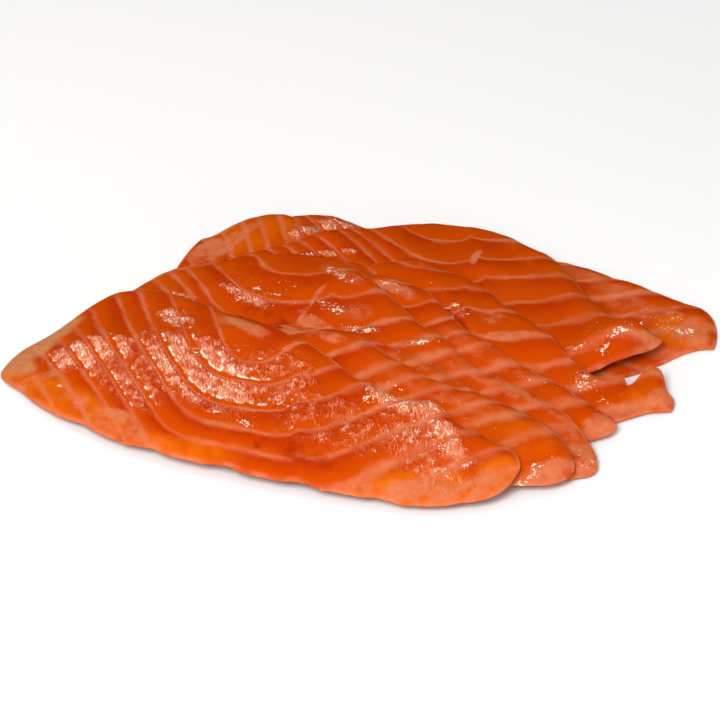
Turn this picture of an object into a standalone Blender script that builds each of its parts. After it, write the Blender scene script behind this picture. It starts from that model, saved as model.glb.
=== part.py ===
"""Smoked salmon slices: thin, leaf-shaped slices shingled over one another, the front one on top.

Each slice is a flat leaf outline laid over the slices beneath it, so that it rests on them and
comes down to the table where nothing lies below. Lengths are in millimetres until a solid is made.
"""
import math

import bmesh
import bpy
import numpy as np
from mathutils import Matrix

MM = 0.001
COLLECTION = "smoked_salmon_slices"

SLICE_THICKNESS = 3.2      # a slice away from its rim
RIM_THICKNESS = 1.2        # the knife leaves the rim thin
RIM_TAPER = 5.0            # how far in from the rim the full thickness is reached
CLEARANCE = 0.3            # between a slice and those it rests on

COLUMNS = 22               # cells along a slice, closer together towards its ends
ROW_STATIONS = (0.0, 0.05, 0.15, 0.27, 0.39, 0.5, 0.61, 0.73, 0.85, 0.95, 1.0)

TABLE_X = (-140, 140)      # the part of the table that the pile may cover
TABLE_Y = (-15, 195)
SAG_REACH = 2.0            # a slice bends this far out from an edge under it
SAG_LENGTH = 4.0           # and eases down over about this length
SAG_ROUNDS = 6
SETTLE_ROUNDS = 8          # passes that lift a slice clear of the pile
SHARP_DEGREES = 50         # rim corners sharper than this are shaded as edges
FLESH = (0.80, 0.13, 0.02, 1.0)

# From the lowest slice to the top one. tail and head are the ends of a slice's middle line;
# back and front are its half-breadths at seven stations between them, closer near the ends.
# ridge is a fold where a slice stands off what is below: centre, half-lengths, turn and rise.
SLICES = {
    "slice_9_back": dict(
        tail=(-52, 138), head=(121, 92),
        back=(22, 41, 34, 34, 32, 25, 18), front=(9, 20, 30, 36, 34, 26, 4)),
    "slice_8": dict(
        tail=(-64, 134), head=(96, 92),
        back=(23, 41, 31, 28, 24, 16, 8), front=(12, 26, 34, 34, 30, 20, 10)),
    "slice_7_arched": dict(
        tail=(-62, 126), head=(103, 87),
        back=(8, 20, 38, 58, 46, 15, 2), front=(12, 26, 34, 36, 32, 24, 10),
        ridge=(90, 84, 16, 9, 32, 8)),
    "slice_6": dict(
        tail=(-76, 114), head=(106, 55),
        back=(8, 20, 34, 43, 23, 3, 18), front=(12, 24, 34, 36, 30, 22, 5),
        ridge=(31, 103, 32, 7, -58, 2.2)),
    "slice_5": dict(
        tail=(-88, 104), head=(87, 42),
        back=(6, 18, 32, 43, 20, 11, 5), front=(12, 26, 36, 37, 32, 18, 8)),
    "slice_4": dict(
        tail=(-88, 104), head=(80, 18),
        back=(33, 42, 57, 39, 23, 20, 11), front=(12, 28, 38, 38, 30, 18, 7)),
    "slice_3": dict(
        tail=(-100, 82), head=(66, 22),
        back=(8, 15, 22, 29, 23, 14, 8), front=(10, 24, 34, 34, 29, 18, 8)),
    "slice_2": dict(
        tail=(-104, 78), head=(72, 14),
        back=(8, 14, 22, 30, 19, 18, 11), front=(10, 22, 28, 29, 25, 16, 6)),
    "slice_1_front": dict(
        tail=(-121, 75), head=(54, 10),
        back=(28, 46, 41, 30, 15, 9, 6), front=(7, 17, 25, 28, 28, 24, 13)),
}

TABLE_STEP = 1.0
AXIS_X = np.arange(TABLE_X[0], TABLE_X[1] + 0.5, TABLE_STEP)
AXIS_Y = np.arange(TABLE_Y[0], TABLE_Y[1] + 0.5, TABLE_STEP)
PLAN_X, PLAN_Y = np.meshgrid(AXIS_X, AXIS_Y)


def clear_scene():
    for obj in list(bpy.data.objects):
        bpy.data.objects.remove(obj, do_unlink=True)


def half_breadth(stations, turn):
    """A smooth breadth through the stations, nothing at both ends; turn runs from 0 to 1."""
    values = np.concatenate([[0.0], np.asarray(stations, float), [0.0]])
    padded = np.concatenate([[-values[1]], values, [-values[-2]]])
    count = len(values) - 1
    place = np.clip(np.asarray(turn) * count, 0, count - 1e-9)
    i = place.astype(int)
    u = place - i
    p0, p1, p2, p3 = padded[i], padded[i + 1], padded[i + 2], padded[i + 3]
    return 0.5 * (2 * p1 + (p2 - p0) * u + (2 * p0 - 5 * p1 + 4 * p2 - p3) * u**2
                  + (3 * p1 - p0 - 3 * p2 + p3) * u**3)


def leaf_point(leaf, turn, across):
    """Plan position of a point of the leaf: across is 0 at its front rim and 1 at its back rim."""
    tail, head = np.array(leaf["tail"], float), np.array(leaf["head"], float)
    run = head - tail
    side = np.array([-run[1], run[0]]) / np.hypot(*run)
    share = (1 - np.cos(math.pi * np.asarray(turn))) / 2
    front = -half_breadth(leaf["front"], turn)
    offset = front + (half_breadth(leaf["back"], turn) - front) * across
    return tail[0] + run[0] * share + side[0] * offset, tail[1] + run[1] * share + side[1] * offset


def leaf_outline(leaf):
    turns = np.linspace(0, 1, 2 * COLUMNS + 1)
    back = np.array(leaf_point(leaf, turns, 1.0)).T
    front = np.array(leaf_point(leaf, turns[-2:0:-1], 0.0)).T
    return np.concatenate([back, front])


def outline_distance(outline, x, y):
    nearest = np.full(np.shape(x), np.inf)
    for start, end in zip(outline, np.roll(outline, -1, axis=0)):
        edge = end - start
        share = ((x - start[0]) * edge[0] + (y - start[1]) * edge[1]) / max(edge @ edge, 1e-9)
        share = np.clip(share, 0, 1)
        gap = np.hypot(x - start[0] - share * edge[0], y - start[1] - share * edge[1])
        nearest = np.minimum(nearest, gap)
    return nearest


def thickness_at(distance):
    inward = np.clip(distance / RIM_TAPER, 0, 1)
    return RIM_THICKNESS + (SLICE_THICKNESS - RIM_THICKNESS) * np.sqrt(1 - (1 - inward) ** 2)


def spread(heights, reach):
    """The highest value within reach of every place."""
    cells = int(math.ceil(reach / TABLE_STEP))
    padded = np.pad(heights, cells, mode="edge")
    rows, columns = heights.shape
    highest = heights.copy()
    for down in range(-cells, cells + 1):
        for right in range(-cells, cells + 1):
            if down * down + right * right <= cells * cells:
                moved = padded[cells + down:cells + down + rows, cells + right:cells + right + columns]
                highest = np.maximum(highest, moved)
    return highest


def smoothed(heights, length):
    cells = int(3 * length / TABLE_STEP) + 1
    kernel = np.exp(-0.5 * (np.arange(-cells, cells + 1) * TABLE_STEP / length) ** 2)
    kernel /= kernel.sum()
    padded = np.pad(heights, cells, mode="edge")
    for axis in (0, 1):
        padded = np.apply_along_axis(lambda line: np.convolve(line, kernel, "valid"), axis, padded)
    return padded


def draped(pile):
    """How high the underside of a slice laid on the pile comes to lie."""
    hold = spread(pile, SAG_REACH)
    sheet = hold.copy()
    for _ in range(SAG_ROUNDS):
        sheet = np.maximum(hold, smoothed(sheet, SAG_LENGTH))
    return smoothed(sheet, SAG_REACH)


def ridge_rise(ridge):
    centre_x, centre_y, half_long, half_wide, turn, rise = ridge
    c, s = math.cos(math.radians(turn)), math.sin(math.radians(turn))
    along = ((PLAN_X - centre_x) * c + (PLAN_Y - centre_y) * s) / half_long
    across = ((PLAN_Y - centre_y) * c - (PLAN_X - centre_x) * s) / half_wide
    return rise * np.exp(-along**2 - across**2)


def read_height(heights, x, y):
    row = np.clip((y - TABLE_Y[0]) / TABLE_STEP, 0, heights.shape[0] - 1.001)
    column = np.clip((x - TABLE_X[0]) / TABLE_STEP, 0, heights.shape[1] - 1.001)
    i, j = row.astype(int), column.astype(int)
    u, v = row - i, column - j
    low = heights[i, j] * (1 - v) + heights[i, j + 1] * v
    high = heights[i + 1, j] * (1 - v) + heights[i + 1, j + 1] * v
    return low * (1 - u) + high * u


def table_cells(corners):
    """Places on the table under a triangle, as an index pair, with their three weights."""
    low = np.floor((corners.min(axis=0) - (TABLE_X[0], TABLE_Y[0])) / TABLE_STEP).astype(int)
    high = np.ceil((corners.max(axis=0) - (TABLE_X[0], TABLE_Y[0])) / TABLE_STEP).astype(int) + 1
    window = (slice(max(low[1], 0), high[1]), slice(max(low[0], 0), high[0]))
    x, y = PLAN_X[window], PLAN_Y[window]
    (ax, ay), (bx, by), (cx, cy) = corners
    area = (bx - ax) * (cy - ay) - (cx - ax) * (by - ay)
    if abs(area) < 1e-9:
        return None
    first = ((bx - x) * (cy - y) - (cx - x) * (by - y)) / area
    second = ((cx - x) * (ay - y) - (ax - x) * (cy - y)) / area
    weights = np.stack([first, second, 1 - first - second])
    under = weights.min(axis=0) >= -1e-6
    return window, under, weights[:, under]


def settle(plan, under, triangles, pile):
    """Lifts corners until every triangle of the underside clears the pile."""
    cells = [(corners, table_cells(plan[corners])) for corners in triangles]
    cells = [(corners, found) for corners, found in cells if found and found[1].any()]
    for turn in range(SETTLE_ROUNDS):
        lift = np.zeros(len(under))
        for corners, (window, inside, weights) in cells:
            floor = pile[window][inside]
            short = np.where(floor > 0, floor + CLEARANCE, 0.0) - under[corners] @ weights
            if short.max() > 0:
                share = np.ones_like(weights) if turn == SETTLE_ROUNDS - 1 else np.minimum(1, 1.5 * weights)
                lift[corners] = np.maximum(lift[corners], (share * np.maximum(short, 0)).max(axis=1))
        under = under + lift
    return under


def add_to_pile(plan, top, triangles, pile):
    laid = np.zeros_like(pile)
    for corners in triangles:
        found = table_cells(plan[corners])
        if found and found[1].any():
            window, inside, weights = found
            patch = laid[window]
            patch[inside] = np.maximum(patch[inside], top[corners] @ weights)
    return np.maximum(pile, spread(laid, TABLE_STEP))


def leaf_sheet(leaf):
    """A grid of faces stretched over the leaf outline, its ends drawn together."""
    sheet = bmesh.new()
    rows = len(ROW_STATIONS) - 1
    bmesh.ops.create_grid(sheet, x_segments=COLUMNS, y_segments=rows, size=1.0)
    for vertex in sheet.verts:
        turn = (vertex.co.x + 1) / 2
        across = ROW_STATIONS[round((vertex.co.y + 1) / 2 * rows)]
        x, y = leaf_point(leaf, turn, across)
        vertex.co = (float(x), float(y), 0.0)
    bmesh.ops.remove_doubles(sheet, verts=sheet.verts, dist=0.05)
    bmesh.ops.triangulate(sheet, faces=sheet.faces, quad_method="SHORT_EDGE")
    sheet.verts.index_update()
    return sheet


def lay_slice(name, leaf, pile, collection):
    sheet = leaf_sheet(leaf)
    plan = np.array([vertex.co[:2] for vertex in sheet.verts])
    triangles = np.array([[vertex.index for vertex in face.verts] for face in sheet.faces])
    resting = draped(pile)
    if "ridge" in leaf:
        resting = resting + ridge_rise(leaf["ridge"])
    under = read_height(resting, plan[:, 0], plan[:, 1])
    under = np.where(under < CLEARANCE, 0.0, under)
    under = settle(plan, under, triangles, pile)
    top = under + thickness_at(outline_distance(leaf_outline(leaf), plan[:, 0], plan[:, 1]))

    lower = list(sheet.verts)
    grown = bmesh.ops.extrude_face_region(sheet, geom=list(sheet.faces), use_keep_orig=True)
    upper = {}
    for vertex in grown["geom"]:
        if isinstance(vertex, bmesh.types.BMVert):
            upper[(round(vertex.co.x, 4), round(vertex.co.y, 4))] = vertex
    for i, vertex in enumerate(lower):
        upper[(round(vertex.co.x, 4), round(vertex.co.y, 4))].co.z = top[i]
        vertex.co.z = under[i]
    bmesh.ops.scale(sheet, vec=(MM, MM, MM), verts=sheet.verts)
    bmesh.ops.recalc_face_normals(sheet, faces=sheet.faces)
    add_object(name, sheet, collection)
    return add_to_pile(plan, top, triangles, pile)


def add_object(name, sheet, collection):
    mesh = bpy.data.meshes.new(name)
    sheet.to_mesh(mesh)
    sheet.free()
    mesh.materials.append(flesh_material(name))
    collection.objects.link(bpy.data.objects.new(name, mesh))
    mesh.shade_smooth()
    mesh.set_sharp_from_angle(angle=math.radians(SHARP_DEGREES))


def flesh_material(name):
    material = bpy.data.materials.new(name + "_flesh")
    material.use_nodes = True
    shader = material.node_tree.nodes["Principled BSDF"]
    shader.inputs["Base Color"].default_value = FLESH
    shader.inputs["Roughness"].default_value = 0.35
    return material


def centre_on_origin(objects):
    """Moves the meshes until the middle of the pile's footprint is at the origin."""
    places = [vertex.co for obj in objects for vertex in obj.data.vertices]
    middle_x = (min(co.x for co in places) + max(co.x for co in places)) / 2
    middle_y = (min(co.y for co in places) + max(co.y for co in places)) / 2
    for obj in objects:
        obj.data.transform(Matrix.Translation((-middle_x, -middle_y, 0)))
    print("pile centred from", round(middle_x / MM, 2), round(middle_y / MM, 2), "mm")


def build():
    clear_scene()
    collection = bpy.data.collections.new(COLLECTION)
    bpy.context.scene.collection.children.link(collection)
    pile = np.zeros_like(PLAN_X)
    for name, leaf in SLICES.items():
        pile = lay_slice(name, leaf, pile, collection)
        print(name, "reaches", round(float(pile.max()), 1), "mm")
    centre_on_origin(list(collection.objects))


build()
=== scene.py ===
# %% [markdown]
# # Smoked salmon slices
# A side of smoked salmon is cut with a long thin knife, nearly flat, into leaves about 3 mm thick.
# Laid out for serving, each leaf overlaps the one before it and sags over the rims beneath.
# What makes them read as salmon is more than the outline: pale seams that nest like ripples, an
# orange that glows because light gets a little way into the flesh, and an oily shine that breaks up
# over a pebbly cut face.
# The pile could be sculpted by hand. Here each slice is worked out from a few sizes, so that any of
# them can be changed later and the slices above still lie well on it.
# The plain solids of the pile are loaded first. They are the frame: they fix where every slice is
# and how big it is, and nothing in them is moved. Each slice is then made again in its solid's
# place as a fine, soft mesh.

# %% Load the frame
import math
import bmesh
import bpy
import numpy as np
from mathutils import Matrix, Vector


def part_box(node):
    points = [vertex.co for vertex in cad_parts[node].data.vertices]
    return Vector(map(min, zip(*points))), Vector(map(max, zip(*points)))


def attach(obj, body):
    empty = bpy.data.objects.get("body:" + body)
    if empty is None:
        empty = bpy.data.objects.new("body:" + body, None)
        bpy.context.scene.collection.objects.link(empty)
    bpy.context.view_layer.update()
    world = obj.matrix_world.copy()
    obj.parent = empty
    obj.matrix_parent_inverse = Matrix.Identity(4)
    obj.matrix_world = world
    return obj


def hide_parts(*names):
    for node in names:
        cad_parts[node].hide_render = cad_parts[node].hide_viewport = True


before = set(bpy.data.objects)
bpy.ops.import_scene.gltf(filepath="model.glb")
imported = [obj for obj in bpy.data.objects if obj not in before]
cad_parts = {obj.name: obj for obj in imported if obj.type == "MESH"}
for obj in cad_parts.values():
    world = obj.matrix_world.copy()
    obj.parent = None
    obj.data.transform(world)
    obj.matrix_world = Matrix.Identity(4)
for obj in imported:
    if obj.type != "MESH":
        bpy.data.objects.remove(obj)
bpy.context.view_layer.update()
MM = 0.001
TINY = 1e-9  # keeps a division away from nothing
print("solids:", sorted(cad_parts))

# %% [markdown]
# ## The sizes of the slices
# A slice is described the way a maker would sketch it: a middle line from the tail end to the head
# end, and how far the flesh reaches to the back and to the front of that line at seven stations.
# A list of corner points would fix the outline too, but nobody could read a slice from it.
# - ridge: a hump in the slice. It has its middle on the board, half its length and breadth, how far
#   it is turned, and how high it rises.
# - nicks: where the back rim is torn in. Each has its place along the middle line, half its length,
#   and the share of the breadth that is gone. A share below nothing is a small tongue.
# All sizes are in millimetres on the board that the pile was laid out on, lowest slice first. The
# solids come from the same sizes, but here some rims are let out or taken in by a few millimetres.

# %% Slice sizes
SLICES = {
    "slice_9_back": dict(
        tail=(-52, 138), head=(121, 92),
        back=(22.5, 42.7, 36.4, 36, 35, 26.5, 19.0), front=(9, 20, 30, 36, 34, 25, 4)),
    "slice_8": dict(
        tail=(-64, 134), head=(96, 92),
        back=(23.5, 43.2, 32.5, 29, 25, 17, 8), front=(12, 26, 34, 34, 30, 20, 10),
        nicks=((2.5, 3, -0.3),)),
    "slice_7_arched": dict(
        tail=(-62, 126), head=(103, 87),
        back=(8, 22, 45.5, 59.2, 48.2, 15.5, 2), front=(12, 26, 34, 36, 32, 24, 10),
        ridge=(90, 84, 16, 9, 32, 8)),
    "slice_6": dict(
        tail=(-76, 114), head=(106, 55),
        back=(8, 20, 34, 43, 23, 3, 18), front=(12, 24, 34, 36, 30, 22, 5),
        ridge=(31, 103, 32, 7, -58, 2.2), nicks=((174.6, 2.2, 0.57), (188, 4.5, 0.5))),
    "slice_5": dict(
        tail=(-88, 104), head=(87, 42),
        back=(6, 18, 32, 43, 20, 11, 5), front=(12, 26, 36, 37, 32, 18, 9.5)),
    "slice_4": dict(
        tail=(-89.5, 104), head=(79.5, 18.2),
        back=(31.5, 43.5, 57.5, 39, 23, 20, 11), front=(12, 28, 38, 38, 30, 18, 8)),
    "slice_3": dict(
        tail=(-100, 82), head=(66, 22),
        back=(8, 15, 22, 29, 23, 14, 8), front=(10, 24, 34, 34, 29, 18, 8)),
    "slice_2": dict(
        tail=(-104, 78), head=(72, 14),
        back=(8, 14, 22, 30, 19, 18, 11), front=(10, 22, 28, 29, 25, 17, 9)),
    "slice_1_front": dict(
        tail=(-121.3, 77), head=(54, 10),
        back=(25.5, 49, 42, 30, 15, 9, 6), front=(7.5, 18.5, 27.2, 29.5, 28.5, 25, 15),
        nicks=((6, 6, 0.17), (19, 8, -0.11), (151, 7, -0.5))),
}


def middle_line(leaf):
    """Start, direction, sideways direction and length of a slice's middle line."""
    tail, head = np.array(leaf["tail"], float), np.array(leaf["head"], float)
    length = float(np.hypot(*(head - tail)))
    run = (head - tail) / length
    return tail, run, np.array([-run[1], run[0]]), length


for name, leaf in SLICES.items():
    print(name, "is", round(middle_line(leaf)[3]), "mm long")


# %% [markdown]
# ## The breadth between the stations
# A real slice has no corners, so straight lines from station to station would show. A Catmull-Rom
# curve goes through every station and bends smoothly between them, and it needs nothing but the two
# stations before a place and the two after it.

# %% Breadth
def half_breadth(stations, turn):
    """A smooth breadth through the stations, nothing at both ends; turn runs from 0 to 1."""
    values = np.concatenate([[0.0], np.asarray(stations, float), [0.0]])
    padded = np.concatenate([[-values[1]], values, [-values[-2]]])
    count = len(values) - 1
    place = np.clip(np.asarray(turn) * count, 0, count - TINY)
    i = place.astype(int)
    u = place - i
    p0, p1, p2, p3 = padded[i], padded[i + 1], padded[i + 2], padded[i + 3]
    return 0.5 * (2 * p1 + (p2 - p0) * u + (2 * p0 - 5 * p1 + 4 * p2 - p3) * u**2
                  + (3 * p1 - p0 - 3 * p2 + p3) * u**3)


print("slice 3 reaches", round(float(half_breadth(SLICES["slice_3"]["back"], 0.5)), 1), "mm to the back")

# %% [markdown]
# ## A hand-cut rim
# A knife never leaves a perfect curve. The rim wavers by a few tenths of a millimetre, with a
# coarser sway under it. Noise would do for this. A few sine waves of unrelated lengths, each rim
# with its own phases, are cheaper and come out the same on every run.

# %% Rims
RIM_SWAYS = ((27.0, 0.55), (13.7, 0.25), (7.1, 0.12), (3.9, 0.05))  # length and height of each wave
BACK_RIM = 50  # added to a slice's number for the phases of its back rim


def rim_sway(along, seed):
    phases = np.random.default_rng(seed).uniform(0, 2 * math.pi, len(RIM_SWAYS))
    return sum(height * np.sin(2 * math.pi * along / length + phase)
               for (length, height), phase in zip(RIM_SWAYS, phases))


def rims(leaf, turn, along, seed):
    """Offsets of the front and the back rim; no seed means a plain rim without sway and nicks."""
    front, back = -half_breadth(leaf["front"], turn), half_breadth(leaf["back"], turn)
    if seed is None:
        return front, back
    for place, half_long, share in leaf.get("nicks", ()):
        back = back * (1 - share * np.exp(-((along - place) / half_long) ** 2))
    fade = np.sin(math.pi * np.asarray(turn)) ** 0.5
    return front - fade * rim_sway(along, seed), back + fade * rim_sway(along, seed + BACK_RIM)


print("the rims sway by up to", round(sum(height for _, height in RIM_SWAYS), 2), "mm")

# %% Outlines
OUTLINE_POINTS = 160


def leaf_point(leaf, turn, across, seed):
    """Plan position of a point of the slice: across is 0 at its front rim and 1 at its back rim."""
    tail, run, side, length = middle_line(leaf)
    along = length * (1 - np.cos(math.pi * np.asarray(turn))) / 2
    front, back = rims(leaf, turn, along, seed)
    offset = front + (back - front) * across
    return tail[0] + run[0] * along + side[0] * offset, tail[1] + run[1] * along + side[1] * offset


def leaf_outline(leaf, seed):
    turns = np.linspace(0, 1, OUTLINE_POINTS + 1)
    back = np.array(leaf_point(leaf, turns, 1.0, seed)).T
    front = np.array(leaf_point(leaf, turns[-2:0:-1], 0.0, seed)).T
    return np.concatenate([back, front])


def rim_distance(outline, x, y):
    nearest = np.full(np.shape(x), np.inf)
    for start, end in zip(outline, np.roll(outline, -1, axis=0)):
        edge = end - start
        share = ((x - start[0]) * edge[0] + (y - start[1]) * edge[1]) / max(edge @ edge, TINY)
        share = np.clip(share, 0, 1)
        gap = np.hypot(x - start[0] - share * edge[0], y - start[1] - share * edge[1])
        nearest = np.minimum(nearest, gap)
    return nearest


print("each outline has", 2 * OUTLINE_POINTS, "points")

# %% [markdown]
# ## Where the board is in the frame
# The frame keeps the pile centred on the origin, and the sizes above are on the board. The shift
# could be typed in, but it would go wrong as soon as the solids change. One slice is enough to find
# it: the middle of its solid's box against the middle of its plain outline.
# Slice 3 is taken, because its sizes are those of its solid.

# %% Board to frame
solid_low, solid_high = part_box("slice_3")
plain_rim = leaf_outline(SLICES["slice_3"], None)
BOARD_X = ((plain_rim[:, 0].min() + plain_rim[:, 0].max()) * MM - solid_low.x - solid_high.x) / 2 / MM
BOARD_Y = ((plain_rim[:, 1].min() + plain_rim[:, 1].max()) * MM - solid_low.y - solid_high.y) / 2 / MM
print("board centre", round(BOARD_X, 2), round(BOARD_Y, 2), "mm")

# %% [markdown]
# ## A height map of the pile
# A slice is laid on what is there, so the height of the pile has to be known at every place. Rays
# shot down at the meshes would find it. A plain grid of heights over the board is faster and easy
# to smooth.

# %% Height map
CELL = 0.5  # from one place of the map to the next
AXIS_X = np.arange(-140, 140.1, CELL)
AXIS_Y = np.arange(-15, 195.1, CELL)
PLAN_X, PLAN_Y = np.meshgrid(AXIS_X, AXIS_Y)
print("height map of", AXIS_X.size, "by", AXIS_Y.size, "places")


# %% Spread, smooth and read
def spread(heights, reach):
    """The highest value within reach of every place."""
    cells = int(math.ceil(reach / CELL))
    padded = np.pad(heights, cells, mode="edge")
    rows, columns = heights.shape
    highest = heights.copy()
    for down in range(-cells, cells + 1):
        for right in range(-cells, cells + 1):
            if down * down + right * right <= cells * cells:
                moved = padded[cells + down:cells + down + rows, cells + right:cells + right + columns]
                highest = np.maximum(highest, moved)
    return highest


def smoothed(heights, length):
    """The map, blurred over about this length."""
    cells = int(3 * length / CELL) + 1
    kernel = np.exp(-0.5 * (np.arange(-cells, cells + 1) * CELL / length) ** 2)
    kernel /= kernel.sum()
    padded = np.pad(heights, cells, mode="edge")
    for axis in (0, 1):
        padded = np.apply_along_axis(lambda line: np.convolve(line, kernel, "valid"), axis, padded)
    return padded


def read_height(heights, x, y):
    """The height between the places of the map, mixed from the four around it."""
    row = np.clip((y - AXIS_Y[0]) / CELL, 0, heights.shape[0] - 1.001)
    column = np.clip((x - AXIS_X[0]) / CELL, 0, heights.shape[1] - 1.001)
    i, j = row.astype(int), column.astype(int)
    u, v = row - i, column - j
    low = heights[i, j] * (1 - v) + heights[i, j + 1] * v
    high = heights[i + 1, j] * (1 - v) + heights[i + 1, j + 1] * v
    return low * (1 - u) + high * u


print("a slope, read between two places:", read_height(PLAN_X, np.array([0.25]), np.array([0.0])), "mm")

# %% [markdown]
# ## Draping
# The slices are soft, so each one takes the shape of what it lies on and bridges the small steps.
# A cloth simulation would do it, but nine sheets in close contact are slow and nervous. With the
# height map it is simple: spread its high places a little, smooth what is left, and never go below
# what is there. That is how a sagging slice behaves. A hump is added as a long soft hill.

# %% Draping
SAG_REACH, SAG_LENGTH, SAG_ROUNDS = 3.0, 5.0, 7
CLING = 0.3  # the film of oil that keeps two slices apart


def draped(pile):
    """How high the underside of a slice comes to lie on the pile."""
    hold = spread(pile, SAG_REACH)
    sheet = hold.copy()
    for _ in range(SAG_ROUNDS):
        sheet = np.maximum(hold, smoothed(sheet, SAG_LENGTH))
    return smoothed(sheet, SAG_REACH)


def ridge_rise(ridge):
    centre_x, centre_y, half_long, half_wide, turn, rise = ridge
    c, s = math.cos(math.radians(turn)), math.sin(math.radians(turn))
    along = ((PLAN_X - centre_x) * c + (PLAN_Y - centre_y) * s) / half_long
    across = ((PLAN_Y - centre_y) * c - (PLAN_X - centre_x) * s) / half_wide
    return rise * np.exp(-along**2 - across**2)


print("humped slices:", [name for name, leaf in SLICES.items() if "ridge" in leaf])

# %% [markdown]
# ## The seams of the muscle
# Salmon flesh is built of nested muscle blocks, with a thin pale sheet of fat between them. Where
# the knife crosses the sheets they show as seams: bows that nest inside one another about a
# centre near the back rim, steep on the tail side and long and slanting on the head side.
# Blender's wave texture can't nest its bows like this, so they are worked out. Each slice has a
# centre, and for each seam its reach towards the tail, the head and the front. The lean says how
# much those arms slant.
# The three reaches are blended softly into one number that is 1 on the first bow, 2 on the next...
# The bows bend once more at the lateral line, which runs from near the centre to the front rim.

# %% Seams
USUAL = dict(
    centre=(75, 25), lean=(0.71, 0.71), tail_lean=(0.71, 0.71),
    tailward=(9, 19, 25, 30, 39, 45, 51, 57, 64, 71, 78, 85),
    frontward=(14, 23, 34, 43, 49, 56, 63, 70, 77, 84, 91, 98),
    headward=(16, 35, 46, 57, 69, 80, 90, 98, 106, 114, 122, 130))
SEAMS = {
    "slice_1_front": dict(centre=(88, 14), tailward=(9, 18, 26, 32, 40, 46, 52, 59, 66, 73, 80, 87),
                          frontward=(5, 12, 23, 31, 38, 45, 52, 59, 66, 73, 80, 87),
                          headward=(4, 17, 28, 40, 52, 63, 73, 81, 89, 97, 105, 113)),
    "slice_2": dict(centre=(68, 28), headward=(12, 27, 40, 49, 57, 69, 77, 89, 102, 114, 124, 134)),
    "slice_3": dict(centre=(72, 32), headward=(14, 28, 42, 52, 60, 71, 80, 92, 103, 114, 124, 134)),
    "slice_4": dict(centre=(56, 42), tailward=(12, 25, 34, 39, 45, 51, 57, 64, 71, 78, 85, 92),
                    frontward=(10, 23, 34, 43, 52, 60, 67, 74, 81, 88, 95, 102),
                    headward=(10, 25, 41, 53, 62, 72, 83, 93, 104, 114, 124, 134)),
    "slice_5": dict(centre=(77, 42), headward=(19, 30, 41, 50, 58, 69, 80, 93, 107, 118, 128, 138)),
    "slice_6": dict(centre=(88, 44), lean=(0.6, 0.8),
                    headward=(12, 25, 39, 57, 70, 82, 94, 105, 116, 127, 138, 149)),
    "slice_7_arched": dict(centre=(76, 52), lean=(0.5, 0.87),
                           frontward=(19, 31, 45, 60, 75, 93, 102, 111, 120, 129, 138, 147),
                           headward=(17, 31, 45, 60, 75, 93, 106, 118, 130, 142, 154, 166)),
    "slice_8": dict(centre=(60, 40), tailward=(18, 24.5, 30, 37, 43, 50, 57, 64, 71, 78, 85, 92),
                    tail_lean=(0.9, 0.43)),
    "slice_9_back": dict(centre=(85, 50), lean=(0.5, 0.87),
                         headward=(20, 32, 44, 55, 67, 80, 93, 104, 115, 126, 137, 148)),
}
print("seams described for", len(SEAMS), "slices")

# %% Seam count
BOW_ROUNDNESS = 2.6  # a higher number makes the bows squarer
ARM_SOFTNESS = 4.0  # how gently an arm of a bow goes over into its belly
ARM_LEAN = 0.6  # how far the arms of the bows still lean behind their centre
FAR_REACH = 60  # the count runs on behind the centre as far as this
LATERAL_START = (16, 5)  # how far headward and frontward of the centre the lateral line starts
LATERAL_LEAN = 0.42  # how far the line leans headward on its way to the front
KINK_RISE, KINK_LENGTH = 0.22, 3.0  # each seam pulls up where it meets the lateral line


def soft_above(value, softness):
    """The value where it is well above nothing, nothing where it is below, smooth between."""
    return softness * np.logaddexp(0, value / softness)


def lateral_gap(grain, along, offset):
    """Distance from the lateral line: above nothing on its head side, below on its tail side."""
    centre_along, centre_offset = grain["centre"]
    headward, frontward = LATERAL_START
    return (along - (centre_along + headward)) - LATERAL_LEAN * (centre_offset - frontward - offset)


def seam_count(grain, along, offset):
    """How many seams lie between a place and the centre of the bows."""
    centre_along, centre_offset = grain["centre"]
    below = soft_above(centre_offset - offset, ARM_SOFTNESS)
    sideways = below - ARM_LEAN * soft_above(offset - centre_offset, ARM_SOFTNESS)
    lean_a, lean_b = grain["lean"]
    tail_a, tail_b = grain["tail_lean"]
    reaches = (
        (tail_a * (centre_along - along) + tail_b * sideways, grain["tailward"]),
        (lean_a * (along - centre_along) + lean_b * sideways, grain["headward"]),
        (below, grain["frontward"]))
    counts = [np.interp(reach, (-FAR_REACH,) + seams, (-FAR_REACH / seams[0], *range(1, len(seams) + 1)))
              for reach, seams in reaches]
    total = sum(np.exp(BOW_ROUNDNESS * (count - counts[0])) for count in counts)
    count = counts[0] + np.log(total) / BOW_ROUNDNESS
    return count + KINK_RISE * np.exp(-np.abs(lateral_gap(grain, along, offset)) / KINK_LENGTH)


tip_count = seam_count({**USUAL, **SEAMS["slice_1_front"]}, 0.0, 0.0)
print("seams from the tip of the front slice to its centre:", round(float(tip_count), 1))

# %% [markdown]
# ## The cut face
# The slice is thinnest at its rim, where the knife came out of the fish. Its cut face is not flat
# either: each muscle block swells a little between its seams, and the knife wavered as it went.
# Displacement in the material could show this, but the slices above would not lie on it, so it is
# worked into the heights.

# %% Thickness and relief
SLICE_THICKNESS, RIM_THICKNESS, RIM_TAPER = 2.8, 0.7, 6.5
RIM_ROUND = 0.45  # how far in the rounding of the rim reaches
BLOCK_SWELL = 0.10  # how far a muscle block stands above its seams
CUT_SWAY = 0.25  # the slow waver of the knife
CUT_WAVES = (9.0, 6.5, 4.3, 7.1)  # its lengths: two long ones, then two for the finer waver
FINE_WAVER = 0.6  # the share of the finer waver
RELIEF_FADE = 2.5  # the relief fades out this near to the rim
CUT_DRAWS = 100  # added to a slice's number for the phases of its waver


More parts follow.
